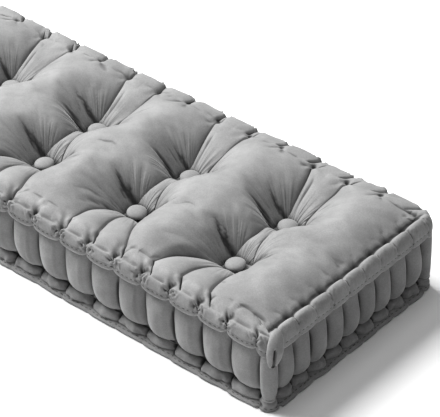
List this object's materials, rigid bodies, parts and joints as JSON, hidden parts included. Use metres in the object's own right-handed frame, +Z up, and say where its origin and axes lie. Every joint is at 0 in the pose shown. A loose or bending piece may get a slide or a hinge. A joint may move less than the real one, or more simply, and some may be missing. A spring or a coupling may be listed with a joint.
{
  "type": "bench cushion",
  "caption": "Long tufted bench cushion with rolled stitched edges, upright puffs round its sides and covered buttons that draw the top into pillows; lies flat on a bench.",
  "frame": {"origin": "on the bench surface, under the middle of the cushion", "axes": "+X along the cushion's length, +Y across it towards the back of the bench, +Z up"},
  "size_m": [1.17, 0.4, 0.167],
  "materials": {
    "cover_velvet": "mid grey short-pile velvet, matt with a soft sheen on the turning edges",
    "button_velvet": "the same mid grey velvet stretched smooth over a button"
  },
  "bodies": {
    "root": {"tufted_cover": "cover_velvet", "button_front_1": "button_velvet", "button_back_1": "button_velvet", "button_front_2": "button_velvet", "button_back_2": "button_velvet", "button_front_3": "button_velvet", "button_back_3": "button_velvet", "button_front_4": "button_velvet", "button_back_4": "button_velvet", "button_front_5": "button_velvet", "button_back_5": "button_velvet"}
  },
  "joints": []
}
